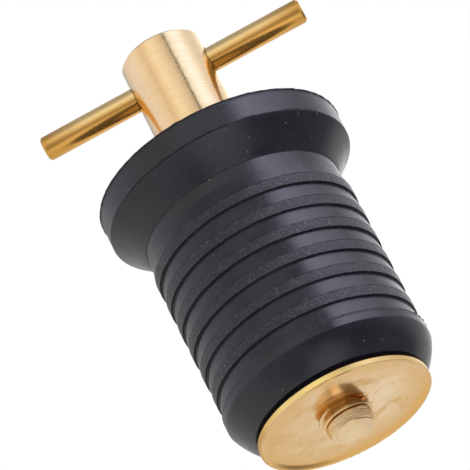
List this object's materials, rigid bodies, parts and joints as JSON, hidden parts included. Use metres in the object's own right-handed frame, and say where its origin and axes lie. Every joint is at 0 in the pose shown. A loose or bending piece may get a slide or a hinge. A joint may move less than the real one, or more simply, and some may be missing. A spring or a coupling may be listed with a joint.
{
  "type": "drain plug",
  "caption": "Twist-in boat drain plug: a T handle turns a stud that draws a round brass plate up and swells a ribbed rubber bung in the tube.",
  "frame": {"origin": "on the plug's axis at the upper edge of the first sealing land of the rubber barrel", "axes": "+Z along the axis towards the handle, +X along the handle bar at rest"},
  "size_m": [0.0434, 0.0384, 0.0692],
  "materials": {
    "hub_brass": "satin turned",
    "bar_brass": "drawn and polished",
    "stud_brass": "turned, threaded",
    "washer_brass": "satin",
    "plate_brass": "polished, lightly tarnished",
    "black_rubber": "moulded, matte"
  },
  "bodies": {
    "bung": {"rubber_bung": "black_rubber", "thrust_washer": "washer_brass"},
    "handle": {"handle_hub": "hub_brass", "handle_bar": "bar_brass", "threaded_stud": "stud_brass"},
    "plate": {"clamp_plate": "plate_brass"}
  },
  "joints": [
    {"name": "handle_turn", "type": "hinge", "parent": "bung", "child": "handle", "pos_m": [0, 0, 0], "axis": [0, 0, 1], "range_deg": [-990, 0]},
    {"name": "plate_climb", "type": "slide", "parent": "bung", "child": "plate", "axis": [0, 0, 1], "range_m": [0, 0.00344], "deforming": ["rubber_bung"]}
  ],
  "couplings": [
    {"joint": "plate_climb", "follows": "handle_turn", "m_per_rad": -0.00019894}
  ]
}
